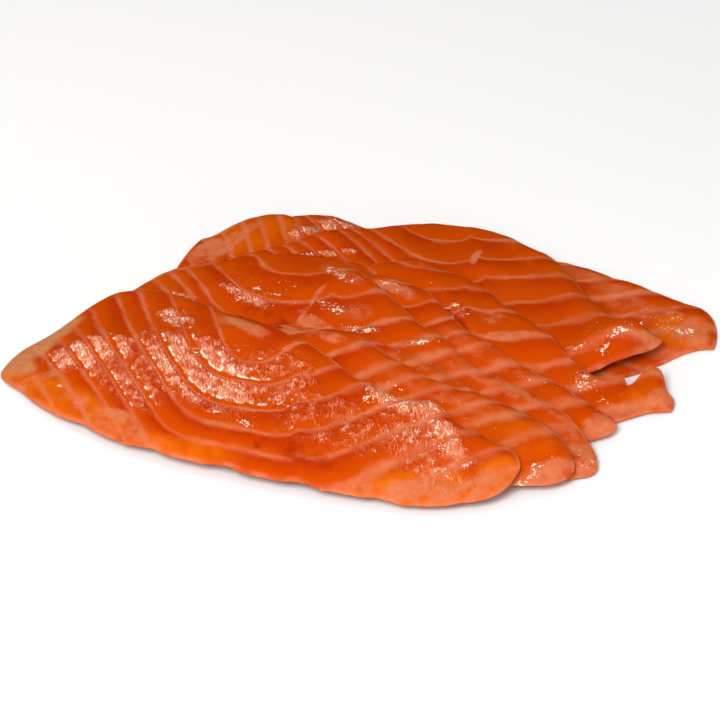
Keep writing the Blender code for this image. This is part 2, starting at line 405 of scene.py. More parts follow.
def thickness_at(distance):
    inward = np.clip(distance / RIM_TAPER, 0, 1)
    return RIM_THICKNESS + (SLICE_THICKNESS - RIM_THICKNESS) * inward * (2 - inward)


def rim_profile(distance):
    inward = np.clip(distance / RIM_ROUND, 0, 1)
    return np.sqrt(1 - (1 - inward) ** 2)


def slice_coordinates(leaf, x, y):
    """How far along its middle line a place is, and how far off it; the back is above nothing."""
    tail, run, side, _ = middle_line(leaf)
    return ((x - tail[0]) * run[0] + (y - tail[1]) * run[1],
            (x - tail[0]) * side[0] + (y - tail[1]) * side[1])


def cut_relief(leaf, grain, x, y, seed):
    """The swell of the muscle blocks and the waver of the cut, above the mean face."""
    along, offset = slice_coordinates(leaf, x, y)
    count = seam_count(grain, along, offset)
    swell = BLOCK_SWELL * (0.5 - np.cos(2 * math.pi * count))
    a, b, c = np.random.default_rng(seed + CUT_DRAWS).uniform(0, 2 * math.pi, 3)
    long_a, long_b, fine_a, fine_b = CUT_WAVES
    sway = np.sin(along / long_a + a) * np.sin(offset / long_b + b) \
        + FINE_WAVER * np.sin(along / fine_a + offset / fine_b + c)
    return swell + CUT_SWAY * sway


print("thickness at 0, 3 and 6 mm from the rim:", np.round(thickness_at(np.array([0, 3, 6])), 2), "mm")

# %% [markdown]
# ## The mesh of a slice
# A slice is two fine sheets that meet in a rounded rim. It could be a thin box with a subdivision
# modifier, but that pulls the rim in, so the points are set straight on a grid. The rows crowd
# together towards the rims, where the curve is tight: the rim is smooth, and no faces are wasted in
# the middle. The borders of the two sheets are welded, so that the slice is one closed skin.

# %% Slice mesh
COLUMNS, ROWS = 190, 78
WELD = 0.0005  # points nearer to each other than this are one point
print("faces of a slice before welding:", 2 * COLUMNS * ROWS)


def slice_grid(leaf, seed):
    turn, across = np.meshgrid(np.linspace(0, 1, COLUMNS + 1),
                               (1 - np.cos(np.linspace(0, math.pi, ROWS + 1))) / 2, indexing="ij")
    return leaf_point(leaf, turn, across, seed)


def slice_mesh(name, top, under, x, y):
    """One closed mesh from two sheets of heights over the same grid."""
    upper = np.arange(top.size).reshape(top.shape)
    lower = upper + top.size
    places = np.concatenate([np.stack([x, y, z], -1).reshape(-1, 3) for z in (top, under)])
    places = (places - (BOARD_X, BOARD_Y, 0)) * MM
    quads = [np.stack([g[:-1, :-1], g[1:, :-1], g[1:, 1:], g[:-1, 1:]], -1).reshape(-1, 4)
             for g in (upper, lower[:, ::-1])]
    mesh = bpy.data.meshes.new(name)
    mesh.from_pydata(places.tolist(), [], np.concatenate(quads).tolist())
    skin = bmesh.new()
    skin.from_mesh(mesh)
    bmesh.ops.remove_doubles(skin, verts=skin.verts, dist=WELD * MM)
    bmesh.ops.recalc_face_normals(skin, faces=skin.faces)
    skin.to_mesh(mesh)
    skin.free()
    mesh.shade_smooth()
    return mesh


# %% [markdown]
# ## Where the flesh differs
# Fat, dried edges, blood, thin places and oil sit where the fish and the knife put them. They could
# be painted on by hand. Here each is a few soft ovals, because a number is easier to change than
# paint: the place along and beside the slice's middle line, half the length and breadth, how far it
# is turned, and how strong it is. Some kinds also paint light and shade into the colour: a glow,
# highlights, a haze of sheen, and shade in folds.
# - wet: the cut face is oily and pebbled here; it shines in the coat, and a painted sheen colours it
# - glint: painted highlights of small drops of oil
# - pale: fat and the thin white sheets that meet in a knot; the broad weak ovals are a painted haze of sheen
# - tan: dried flesh under the skin side
# - glow: a painted glow, a brighter orange where thin flesh would let light through
# - red: blood, and painted shade in deep folds and beside a rim

# %% Front slice
FEATURES = {}
FEATURES["slice_1_front"] = dict(
    wet=((30, 7, 17, 9, 15, 0.8), (70, 5, 32, 15, -22, 0.72), (98, 8, 18, 15, -30, 0.36),
         (122, -6, 32, 15, -8, 0.32), (139, 10, 12, 5, -15, 1), (151, 10, 8, 7, -40, 1),
         (161, 1, 8, 5, -50, 0.9), (168, -6, 8, 4, -35, 0.8), (156, -5, 27, 15, -25, 0.42),
         (45, -4, 26, 8, -28, 0.42), (52, 30, 10, 5, -35, 0.8)),
    glint=((52, 30, 8, 4, -35, 1), (62, -6, 9, 1.6, -30, 1), (88, -13, 14, 1.5, -12, 1),
           (46, 1, 4, 2, -60, 0.8), (130, 9, 5, 4, -50, 1), (144, 10, 4, 2, -50, 1),
           (157, 3, 5, 3, -60, 1), (165, -12, 5, 2, -40, 0.8), (74, 0, 6, 1.6, -35, 1),
           (100, -2, 8, 1.6, -15, 0.8), (142, 6, 16, 8, -35, 0.62), (160, -2, 14, 7, -30, 0.6),
           (66, 2, 26, 12, -25, 0.45), (25, -9, 3, 2, -40, 0.9), (38, -17, 4, 2, -30, 0.6),
           (83, 17, 2, 2, 0, 0.8), (66, 12, 3, 2, -50, 0.8)),
    pale=((80, 27, 13, 4, -22, 0.55), (14, -6, 13, 3, 30, 0.7), (9, 22, 14, 1.5, 65, 0.6),
          (48, -20, 30, 5, -20, 0.5), (53, -20, 9, 3, -25, 1), (152, -24, 32, 4.5, 14, 0.6),
          (163, -19, 12, 4, 14, 0.9), (180, -14, 10, 4, 50, 0.7)),
    tan=((8, 15, 24, 8, 70, 1), (5, 0, 9, 6, 0, 0.9), (74, 29, 12, 4, -20, 0.5)),
    glow=((30, -15, 40, 8, -24, 0.7), (75, -27, 28, 5, 0, 0.7), (158, -22, 34, 9, 22, 0.8),
          (182, -8, 12, 8, 60, 0.9)),
    red=((101.5, -21, 2.2, 1.6, 0, 1), (116, -20, 18, 4, -8, 0.65)))
print("ovals on the front slice:", sum(len(ovals) for ovals in FEATURES["slice_1_front"].values()))

# %% Middle slices
FEATURES["slice_2"] = dict(
    glint=((122, 9, 9, 1.2, -20, 0.8), (150, 4, 40, 8, -10, 0.25), (176, -6, 10, 3, 60, 0.7)),
    pale=((78, 25, 6, 3, 10, 0.9), (90, 25, 9, 3, -10, 0.8), (86, 26, 5, 1.4, 50, 1),
          (140, 12, 36, 6, -5, 0.35), (180, -6, 12, 4, 55, 0.8), (170, 14, 18, 3, -25, 0.4)),
    glow=((165, 5, 25, 12, 0, 0.4),),
    red=((80, 27, 1.4, 1.2, 0, 1),))
FEATURES["slice_3"] = dict(
    glint=((130, 20, 50, 6, -5, 0.25), (180, 2, 8, 6, 0, 0.5)),
    pale=((130, 20, 40, 5, -5, 0.35), (180, 0, 10, 6, 60, 0.7)))
FEATURES["slice_4"] = dict(
    wet=((47, 20, 13, 2.8, -15, 0.8), (55, 23, 10, 2, -5, 0.7), (77, 25, 9, 4, -10, 0.25),
         (92, 20, 10, 3, 10, 0.3), (112, 22, 9, 2, 30, 0.36), (70, 44, 13, 5, -20, 0.3),
         (25, 13, 12, 3, -10, 0.5)),
    glint=((45, 18, 5, 2, -10, 1), (52, 22, 6, 1.2, 5, 0.9), (76, 25, 9, 4, -10, 1.1),
           (92, 20, 8, 2.5, 15, 1.2), (113, 22, 8, 1.8, 35, 1.2), (60, 25, 40, 12, 0, 0.3),
           (70, 44, 12, 4, -20, 1), (183, 2, 8, 6, 0, 0.6)),
    pale=((18, 36, 9, 5, 20, 0.8), (77, 16, 7, 3, -20, 0.9), (70, 29, 1.5, 8, 0, 1),
          (72, 15, 8, 1.4, -50, 1), (70, 18, 1.4, 6, 0, 1), (175, 9, 10, 5, 30, 0.4),
          (72, 44, 14, 5, -15, 0.4), (85, 27, 10, 6, 0, 0.35), (150, 17, 40, 5, -5, 0.45),
          (183, 2, 8, 8, 60, 0.7), (22, 44, 24, 2, 28, 0.8)),
    tan=((8, 28, 10, 3, 50, 0.5), (20, 42, 22, 1.6, 28, 0.5)),
    glow=((15, 22, 16, 14, 20, 0.35),),
    red=((70, 21, 1.4, 1.2, 0, 1), (60, 13, 16, 3, -5, 0.6)))
FEATURES["slice_5"] = dict(
    glint=((92, 36, 8, 3, -30, 0.8), (150, 8, 40, 8, -15, 0.25)),
    pale=((95, 34, 10, 4, -20, 0.9), (135, 12, 26, 5, -15, 0.35), (182, -2, 8, 6, 30, 0.9)))
print("slices with ovals so far:", len(FEATURES))

# %% Back slices
FEATURES["slice_6"] = dict(
    wet=((110, 16, 6, 3, -40, 0.5), (160, -2, 7, 4, 40, 0.34), (108, 12, 12, 2, -45, 0.5)),
    glint=((113, 16, 5, 1.2, -30, 1), (161, -2, 7, 4, 50, 0.95), (170, -7, 4, 2, 0, 1),
           (104, 23, 14, 2, -42, 0.6), (165, -3, 20, 8, 0, 0.3)),
    pale=((122, 16, 6, 5, 10, 0.6), (131, 9, 12, 2.5, 25, 0.8), (187, 2, 8, 5, 60, 0.75),
          (178, -8, 12, 3, 50, 0.4), (88, 40, 14, 5, -20, 0.3)),
    glow=((183, 2, 12, 12, 0, 0.6),),
    red=((112, 10, 14, 1.6, -42, 0.9),))
FEATURES["slice_7_arched"] = dict(
    wet=((45, 20, 18, 3, 20, 0.6), (155, -10, 10, 2, 55, 0.26), (143, -14, 6, 1.6, 5, 0.4)),
    glint=((143, -14, 5, 1, 10, 1.2), (156, -9, 11, 2.2, 55, 1.2), (90, 24, 8, 1, -30, 0.7),
           (40, 22, 6, 1, 30, 0.6), (150, -5, 14, 12, 0, 0.35)),
    pale=((97, 33, 1.5, 7, 0, 0.9), (165, -5, 6, 4, 60, 0.5)),
    glow=((120, 40, 34, 14, -40, 0.35),))
FEATURES["slice_8"] = dict(
    wet=((40, 31, 9, 5, 30, 0.8), (48, 30, 7, 7, 0, 0.9)),
    glint=((36, 33, 6, 0.8, -50, 0.8), (42, 31, 6, 0.8, -50, 0.8)),
    pale=((9, 15, 6, 8, -20, 1), (15, 18, 4, 13, -20, 0.9), (20, 28, 3, 9, -30, 0.6),
          (9, 10, 6, 6, 0, 0.5), (14, 32, 16, 2, 50, 0.8)),
    glow=((22, 26, 24, 22, 0, 0.5),))
FEATURES["slice_9_back"] = dict(
    wet=((36, 32, 9, 8, 30, 0.9),),
    glint=((140, 15, 4, 0.8, 30, 0.8), (151, 3, 6, 3, 20, 1.2), (168, 4, 6, 3, 10, 1.1),
           (158, 6, 16, 9, 0, 0.6)),
    pale=((162, 12, 5, 4, 0, 0.5), (150, 12, 20, 8, -20, 0.35), (170, 4, 8, 11, 0, 0.7)),
    tan=((125, 28, 14, 5, -15, 0.45), (139, 21, 12, 6, -15, 0.4)),
    glow=((165, 4, 14, 14, 0, 0.7),))
print("slices with ovals:", len(FEATURES))

# %% [markdown]
# ## Marks that the material reads
# The material has to know where the seams and the ovals are. It could work that out for itself, but
# with a dozen nodes for each oval. So it is done once, at every point of the mesh, and kept there as
# named numbers, which an Attribute node can read: how many seams lie inward, how wide a muscle block
# is there, how far the rim and the lateral line are, and the strengths of the six kinds of ovals.

# %% Strength of the ovals
KINDS = ("wet", "glint", "pale", "tan", "glow", "red")
OVAL_REACH = 1.15  # an oval fades out this many times its half size away
OVAL_EDGE = 1.6  # how steeply it fades; a higher number gives a sharper border
print("kinds of ovals:", KINDS)


def patches(ovals, along, offset):
    """The ovals' strength in their middles, nothing outside all of them, soft at their borders."""
    strongest = np.zeros_like(along)
    for centre_along, centre_offset, half_long, half_wide, turn, strength in ovals:
        c, s = math.cos(math.radians(turn)), math.sin(math.radians(turn))
        u = ((along - centre_along) * c + (offset - centre_offset) * s) / half_long
        v = ((offset - centre_offset) * c - (along - centre_along) * s) / half_wide
        inside = np.clip(OVAL_EDGE * (OVAL_REACH - np.hypot(u, v)), 0, 1)
        strongest = np.maximum(strongest, strength * inside)
    return strongest


# %% Marks
SLOPE_STEP = 0.5  # how far to each side the seam count is compared
BLOCK_WIDTHS = (2, 40)  # the narrowest and the widest muscle block
LATERAL_REACH = 30  # the lateral line isn't felt further away than this
print("marks on each slice:", 4 + len(KINDS))


def block_width(grain, along, offset):
    """The distance from one seam to the next, from how fast the seam count grows."""
    step = SLOPE_STEP
    slope = np.hypot(seam_count(grain, along + step, offset) - seam_count(grain, along - step, offset),
                     seam_count(grain, along, offset + step) - seam_count(grain, along, offset - step))
    return np.clip(2 * step / np.maximum(slope, TINY), *BLOCK_WIDTHS)


def write_marks(name, mesh, leaf, grain, outline):
    places = np.empty(len(mesh.vertices) * 3)
    mesh.vertices.foreach_get("co", places)
    places = places.reshape(-1, 3) / MM
    x, y = places[:, 0] + BOARD_X, places[:, 1] + BOARD_Y
    along, offset = slice_coordinates(leaf, x, y)
    marks = {
        "seam_count": seam_count(grain, along, offset),
        "block_width": block_width(grain, along, offset),
        "rim_gap": rim_distance(outline, x, y),
        "lateral_gap": np.clip(lateral_gap(grain, along, offset), -LATERAL_REACH, LATERAL_REACH),
    }
    for kind in KINDS:
        marks[kind] = patches(FEATURES[name].get(kind, ()), along, offset)
    for mark, values in marks.items():
        layer = mesh.attributes.new(mark, "FLOAT", "POINT")
        layer.data.foreach_set("value", np.asarray(values, np.float32))


# %% [markdown]
# ## Laying the slices
# The slices are laid one by one on the height map, just as they would be on a board, and each one
# raises the map for the next. Draped all at once, none would know which one lies on top. Each fine
# slice takes the place of its solid and rides on the one body there is.

# %% Heights of a slice
def slice_heights(leaf, grain, pile, seed):
    """Height of the underside and of the top face over the whole board, and the outline."""
    resting = draped(pile)
    if "ridge" in leaf:
        resting = resting + ridge_rise(leaf["ridge"])
    held_up = np.where(pile > 0, spread(pile, CELL) + CLING, 0.0)
    resting = smoothed(np.maximum(resting, held_up), CELL)
    length = middle_line(leaf)[3]
    along, offset = slice_coordinates(leaf, PLAN_X, PLAN_Y)
    turn = np.arccos(1 - 2 * np.clip(along / length, 0, 1)) / math.pi
    front, back = rims(leaf, turn, along, seed)
    within = (along > 0) & (along < length) & (offset < back) & (offset > front)
    distance = np.zeros_like(pile)
    outline = leaf_outline(leaf, seed)
    distance[within] = rim_distance(outline, PLAN_X[within], PLAN_Y[within])
    relief = cut_relief(leaf, grain, PLAN_X, PLAN_Y, seed) * np.clip(distance / RELIEF_FADE, 0, 1)
    top = resting + thickness_at(distance) + relief
    return resting, np.where(within, top, 0.0), outline


print("slices to lay:", len(SLICES))


# %% How a slice is laid
def lay_slice(name, leaf, pile, seed):
    """The fine slice, laid on the pile, and the pile with the slice on it."""
    grain = {**USUAL, **SEAMS[name]}
    resting, top, outline = slice_heights(leaf, grain, pile, seed)
    x, y = slice_grid(leaf, seed)
    distance = rim_distance(outline, x, y)
    distance[:, 0] = distance[:, -1] = 0.0
    distance[0, :] = distance[-1, :] = 0.0
    profile = rim_profile(distance)
    rest = read_height(resting, x, y)
    relief = cut_relief(leaf, grain, x, y, seed) * np.clip(distance / RELIEF_FADE, 0, 1)
    under = rest + RIM_THICKNESS / 2 * (1 - profile)
    upper = rest + RIM_THICKNESS / 2 + (thickness_at(distance) - RIM_THICKNESS / 2) * profile + relief
    mesh = slice_mesh(name + "_flesh", upper, under, x, y)
    write_marks(name, mesh, leaf, grain, outline)
    piece = bpy.data.objects.new("fine_" + name, mesh)
    bpy.context.scene.collection.objects.link(piece)
    return piece, np.maximum(pile, top)


# %% Lay the slices
pieces = []
pile = np.zeros_like(PLAN_X)
for seed, (name, leaf) in enumerate(SLICES.items()):
    piece, pile = lay_slice(name, leaf, pile, seed)
    pieces.append(piece)
    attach(piece, "root")
    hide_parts(name)
    print(name, len(piece.data.polygons), "faces, pile", round(float(pile.max()), 1), "mm high")

# %% [markdown]
# ## A small kit for materials
# A material can be put together by hand in the shader editor. As a script it comes out the same
# every time, but making and joining nodes one by one gets long. These helpers make a node, join its
# inputs and hand back its output, so that a material reads like a recipe.

# %% Node helpers
class Recipe:
    """A material under construction."""

    def __init__(self, name):
        self.material = bpy.data.materials.new(name)
        self.material.use_nodes = True
        self.tree = self.material.node_tree
        self.tree.nodes.clear()

    def node(self, kind, output=0, settings=None, **inputs):
        """A new node's output. An input is called by its name, or i0, i1 and so on by its place."""
        made = self.tree.nodes.new(kind)
        for key, value in (settings or {}).items():
            setattr(made, key, value)
        for key, value in inputs.items():
            place = int(key[1:]) if key[0] == "i" and key[1:].isdigit() else key
            self.join(value, made.inputs[place])
        return made.outputs[output]

    def join(self, value, socket):
        if isinstance(value, bpy.types.NodeSocket):
            self.tree.links.new(value, socket)
        else:
            socket.default_value = value

    def surface(self, sockets):
        """Ends the recipe: the shader, what goes into its sockets, and the finished material."""
        shader = self.tree.nodes.new("ShaderNodeBsdfPrincipled")
        for name, value in sockets.items():
            self.join(value, shader.inputs[name])
        end = self.tree.nodes.new("ShaderNodeOutputMaterial")
        self.join(shader.outputs[0], end.inputs[0])
        return self.material

    def math(self, operation, a, b=0.0):
        return self.node("ShaderNodeMath", settings=dict(operation=operation), i0=a, i1=b)

    def times(self, first, *others):
        for other in others:
            first = self.math("MULTIPLY", first, other)
        return first

    def plus(self, first, *others):
        for other in others:
            first = self.math("ADD", first, other)
        return first

    def vector(self, operation, place, **inputs):
        return self.node("ShaderNodeVectorMath", settings=dict(operation=operation), i0=place, **inputs)

    def ease(self, value, low, high, out_low=0.0, out_high=1.0):
        """Smooth step from out_low to out_high as value goes from low to high."""
        return self.node("ShaderNodeMapRange", settings=dict(interpolation_type="SMOOTHSTEP"),
                         i0=value, i1=low, i2=high, i3=out_low, i4=out_high)


print("a recipe can hold maths and a surface")

# %% [markdown]
# ## The textures of flesh
# The recipe works on the marks of the mesh, on mixed colours, on noise, and on pebbles: flesh that
# was cut and smoked is covered in grains of about a millimetre. Noise alone makes clouds, not
# grains. Voronoi cells are grains, but too regular, so their places are bent by a little noise.

# %% Marks, colours, noise and pebbles
class FleshRecipe(Recipe):
    """A recipe with the textures of flesh; places are in millimetres."""

    def mark(self, name):
        return self.node("ShaderNodeAttribute", "Fac", settings=dict(attribute_name=name))

    def mix(self, share, a, b):
        made = self.tree.nodes.new("ShaderNodeMix")
        made.data_type = "RGBA"
        for index, value in ((0, share), (6, a), (7, b)):
            self.join(value, made.inputs[index])
        return made.outputs[2]

    def noise(self, place, grain_mm, detail=2.0, roughness=0.5):
        """Noise whose lumps are about grain_mm across."""
        return self.node("ShaderNodeTexNoise", "Fac", Vector=place, Scale=1.0 / grain_mm,
                         Detail=detail, Roughness=roughness)

    def pebbles(self, place, grain_mm):
        """Rounded grains about grain_mm across: their height, and a number of its own for each."""
        stray = self.node("ShaderNodeTexNoise", "Color", Vector=place, Scale=0.7 / grain_mm, Detail=1.0)
        bent = self.vector("ADD", place, i1=self.vector("SCALE", stray, Scale=1.2 * grain_mm))
        cells = self.tree.nodes.new("ShaderNodeTexVoronoi")
        self.join(bent, cells.inputs["Vector"])
        self.join(1.0 / grain_mm, cells.inputs["Scale"])
        dome = self.math("SUBTRACT", 1.0, self.math("POWER", cells.outputs["Distance"], 1.6))
        own = self.node("ShaderNodeSeparateColor", "Red", i0=cells.outputs["Color"])
        return dome, own


flesh = FleshRecipe("salmon_flesh")
place = flesh.vector("SCALE", flesh.node("ShaderNodeTexCoord", "Object"), Scale=1 / MM)
print("recipe begun:", flesh.material.name)

# %% [markdown]
# ## Finding the seams
# The mesh carries the seam count, and a seam is wherever it is a whole number. Used as it is, the
# bows would look drawn. Real seams wander, so noise is added to the count first. Three values come
# of it: how far the nearest seam is, where in its block a place lies, from 0 to 1 going outward, and
# whether it is on the head side of the lateral line.

# %% Where a place is among the seams
SEAM_WANDER = 0.16  # how far a seam strays, as a share of its block
wander = flesh.times(flesh.math("SUBTRACT", flesh.noise(place, 7.0), 0.5), SEAM_WANDER)
count = flesh.plus(flesh.mark("seam_count"), wander)
past_seam = flesh.math("SUBTRACT", count, flesh.math("ROUND", count))
seam_gap = flesh.math("ABSOLUTE", flesh.times(past_seam, flesh.mark("block_width")))
into_block = flesh.math("FRACT", count)
headward = flesh.ease(flesh.mark("lateral_gap"), -4.0, 4.0)


def by_side(tail_side, head_side):
    """One value on the tail side of the lateral line and another on its head side."""
    return flesh.ease(headward, 0.0, 1.0, tail_side, head_side)


print("nodes:", len(flesh.tree.nodes))

# %% [markdown]
# ## Ragged borders
# The marks have soft round borders, and nothing on a fish has. Many small ovals would help a little.
# Noise does it better: each mark is multiplied by it before it is eased into a yes or no, and that
# tears its border open.

# %% Where the flesh differs
ragged = flesh.ease(flesh.noise(place, 3.0), 0.3, 0.7, 0.55, 1.45)
flowing = flesh.ease(flesh.noise(place, 8.0, 1.0), 0.3, 0.7, 0.75, 1.25)
torn = flesh.ease(flesh.noise(place, 5.0, 3.0, 0.6), 0.32, 0.68, 0.45, 1.5)


def area(mark, border):
    return flesh.ease(flesh.times(flesh.mark(mark), border), 0.15, 0.9)


pale, tan = area("pale", torn), area("tan", flowing)
glow, red = area("glow", flowing), area("red", torn)
wetness = flesh.times(flesh.mark("wet"), ragged)
wet = flesh.ease(wetness, 0.15, 0.55)
oily = flesh.ease(wetness, 0.35, 0.95, 0.35, 1.0)
print("nodes:", len(flesh.tree.nodes))

# %% [markdown]
# ## The pale seams
# A seam is a sheet of fat that the knife crossed at a slant, so it has a soft edge. A line of one
# width would look printed. So it is weak in one place and broad in another, broader still towards
# the head, and narrower where oil lies over it.

# %% Seams in the flesh
strength = flesh.ease(flesh.noise(place, 15.0), 0.36, 0.62, 0.45, 1.0)
uneven = flesh.ease(flesh.noise(place, 12.0), 0.35, 0.68, 1.0, 2.1)
under_oil = flesh.ease(wet, 0.0, 1.0, 1.0, by_side(0.45, 0.8))
slanting = flesh.ease(flesh.mark("lateral_gap"), 0.0, LATERAL_REACH, 1.0, 2.1)
half_width = flesh.times(uneven, under_oil, slanting)
seam = flesh.times(flesh.ease(seam_gap, half_width, 0.0), strength)
print("nodes:", len(flesh.tree.nodes))

# %% [markdown]
# ## The film of oil
# Oil lies over the cut face, but not over the seams: there it runs off. On the tail side it leaves
# the outer part of each block bare too. One smooth coat would look varnished. So the film follows
# the blocks, comes and goes with noise, and breaks up over two sizes of pebbles, which are drawn
# out from front to back. Its shine is mirrored by the coat and also painted into the colour as a sheen.

# %% Oil and pebbles
DRAWN_OUT = (1.0, 0.45, 1.0)  # a number under 1 makes the grains longer in that direction
drawn_out = flesh.vector("MULTIPLY", place, i1=DRAWN_OUT)
dome, shade = flesh.pebbles(drawn_out, 0.72)
broad_dome, broad_shade = flesh.pebbles(drawn_out, 1.5)
specks = flesh.ease(flesh.plus(shade, broad_shade), 0.4, 1.6, 0.65, 1.0)
oily_band = flesh.math("MAXIMUM", flesh.ease(into_block, 0.82, 0.74), headward)
off_seam = flesh.times(flesh.ease(seam_gap, by_side(0.35, 0.6), by_side(1.0, 1.5), 0.15, 1.0), oily_band)
covered = flesh.times(wet, off_seam)
# painted sheen: where the oil's shine is painted into the colour, besides the coat's mirrored shine
painted_sheen = flesh.times(covered, oily, flesh.ease(flesh.noise(place, 5.0), 0.35, 0.6, 0.6, 1.0))
print("nodes:", len(flesh.tree.nodes))

# %% [markdown]
# ## Painted highlights of oil drops
# Where there is more oil than the face can hold, it stands in drops that catch the light. Drops in
# the mesh would cost many faces, and tiny mirrors come out grainy, so their highlights are painted
# into the colour. They crowd where the glint mark is strong and near the rims, gather in clouds,
# and line the edge where the film of a block ends on the tail side.

# %% Painted highlights of drops
glint = flesh.times(flesh.mark("glint"), ragged)
rim_need = flesh.ease(flesh.mark("rim_gap"), 1.0, 6.0, 0.17, 0.21)
crowding = flesh.math("SUBTRACT", flesh.times(glint, 0.19), rim_need)
clouds = flesh.times(flesh.ease(glint, 0.05, 0.25), flesh.ease(flesh.noise(place, 4.0), 0.42, 0.55))
# painted highlights of oil drops, in clouds and crowding near the rims
painted_glints = flesh.times(flesh.ease(flesh.plus(flesh.noise(place, 0.8), crowding), 0.545, 0.60), clouds)

FILM_END = 0.77  # how far into a block the film ends on the tail side
end_gap = flesh.math("ABSOLUTE", flesh.math("SUBTRACT", into_block, FILM_END))
film_edge = flesh.times(flesh.ease(end_gap, 0.06, 0.02), flesh.math("SUBTRACT", 1.0, headward))
broken = flesh.ease(flesh.noise(place, 3.0, 4.0, 0.65), 0.53, 0.58)
# and a painted highlight line where the film of a block ends
painted_glints = flesh.math("MAXIMUM", painted_glints, flesh.times(wet, film_edge, broken))
print("nodes:", len(flesh.tree.nodes))

# %% [markdown]
# ## The colour of the flesh
# Each block goes from a deep red orange just after a seam to a lighter orange before the next one.
# Large soft clouds and a fine mottle keep it from looking dyed. Over it come a painted glow where
# the flesh is thin, the seams, the fat with a painted haze of sheen, the dried places, the bloody
# places with painted shade in folds, and a painted highlight along the rims. A colour ramp could
# hold one of these changes. Mixing them in one by one keeps each its own.

# %% Flesh colours
DEEP = (0.43, 0.025, 0.001, 1)
BRIGHT = (0.56, 0.062, 0.001, 1)
# a painted glow: brighter and yellower where thin flesh would let light through
GLOW = (0.70, 0.135, 0.003, 1)
# the colour of fat, and of the painted highlight along the rims and the painted haze of sheen
FAT_AND_HIGHLIGHT = (0.64, 0.190, 0.082, 1)
TAN = (0.56, 0.260, 0.110, 1)
# the colour of blood, and of painted shade in folds and beside a rim
RED = (0.33, 0.014, 0.003, 1)

mottle = flesh.ease(flesh.noise(place, 3.2, 4.0, 0.65), 0.35, 0.65, 0.0, 0.30)
# painted highlight: a pale line along every rim
painted_rim_light = flesh.times(flesh.ease(flesh.mark("rim_gap"), 1.5, 0.3),
                        flesh.ease(flesh.noise(place, 6.0), 0.40, 0.60, 0.15, 0.7))
colour = flesh.mix(flesh.ease(into_block, 0.05, 0.9), DEEP, BRIGHT)
layers = (
    (flesh.ease(flesh.noise(place, 26.0, 1.0), 0.38, 0.68, 0.0, 0.6), BRIGHT),
    # painted glow of thin flesh
    (flesh.times(glow, 0.85), GLOW),
    (flesh.times(seam, by_side(0.75, 0.9)), FAT_AND_HIGHLIGHT),
    # fat and knots, and in the broad weak ovals a painted haze of sheen
    (flesh.times(pale, 0.8), FAT_AND_HIGHLIGHT),
    (flesh.times(tan, 0.8), TAN),
    # blood, and painted shade in folds
    (flesh.times(red, 0.8), RED),
    (mottle, BRIGHT),
    # painted highlight along the rims
    (painted_rim_light, FAT_AND_HIGHLIGHT))
for share, layer in layers:
    colour = flesh.mix(share, colour, layer)
print("layers of flesh colour:", len(layers))

# %% [markdown]
# ## The painted sheen of the oil
# The film is painted as a sheen, like a veil: salmon pink where it is thick, nearly the flesh's own
# orange where it thins out. Mirrored light alone leaves it too clear, so the sheen is painted into
# the colour too. Painted shade darkens the gaps between the pebbles, single pebbles flash with
# painted highlights, and the painted highlights of the drops lie on top of it all.

# %% Painted sheen and highlight colours
# painted sheen, thin and thick, and the white of painted highlights
PAINTED_THIN_SHEEN = (0.70, 0.130, 0.018, 1)
PAINTED_SHEEN = (0.80, 0.310, 0.160, 1)
PAINTED_HIGHLIGHT = (0.96, 0.800, 0.640, 1)

painted_sheen_colour = flesh.mix(flesh.ease(painted_sheen, 0.1, 0.8), PAINTED_THIN_SHEEN, PAINTED_SHEEN)
painted_sheen_share = flesh.times(flesh.ease(painted_sheen, 0.0, 0.7), specks, 0.55)
# painted shade in the gaps between the pebbles of the sheen
painted_crack_shade = flesh.times(painted_sheen, flesh.ease(dome, 0.60, 0.42), 0.3)
# painted highlights: single pebbles flash white
painted_flecks = flesh.times(flesh.ease(flesh.noise(drawn_out, 1.7, 4.0, 0.62), 0.56, 0.615, 0.0, 0.9),
                     flesh.ease(shade, 0.25, 0.45, 0.15, 1.0))
painted_sheen_layers = (
    (painted_sheen_share, painted_sheen_colour),
    (painted_crack_shade, DEEP),
    (flesh.times(painted_sheen, painted_flecks), PAINTED_HIGHLIGHT),
    (flesh.times(painted_glints, 0.9), PAINTED_HIGHLIGHT))
for share, layer in painted_sheen_layers:
    colour = flesh.mix(share, colour, layer)
print("layers of oil colour:", len(painted_sheen_layers))

# %% [markdown]
# ## Relief
# Pebbles, soft folds and the grooves of the seams would take millions of faces in the mesh. Bump
# only tilts the way the surface faces the light, which is all that a wet shine needs. Soft lumps are
# everywhere, and the pebbles are strong where the flesh is wet and slight where it is dry.

# %% Bump
pebbles = flesh.times(dome, flesh.ease(wet, 0.0, 0.3, 0.03, 0.30))
folds = flesh.times(broad_dome, flesh.ease(wet, 0.0, 0.3, 0.0, 0.15))
lumps = flesh.times(flesh.noise(place, 3.6), 0.22)
groove = flesh.times(flesh.ease(seam_gap, 0.9, 0.0), wet, -0.14)
bump = flesh.node("ShaderNodeBump", Strength=1.0, Distance=1 * MM,
                  Height=flesh.plus(pebbles, folds, lumps, groove))
print("nodes:", len(flesh.tree.nodes))

# %% [markdown]
# ## The finished flesh
# Light gets about two millimetres into salmon, mostly the red of it, and comes out again. A glass
# shader would let it straight through. Subsurface scattering is made for this, and it keeps the
# flesh from looking like clay. The mirrored shine is the shader's coat, a clear layer over the flesh;
# the painted sheen and painted highlights are in the colour. The coat is only there where the oil
# is, and the flesh under it has no shine of its own.

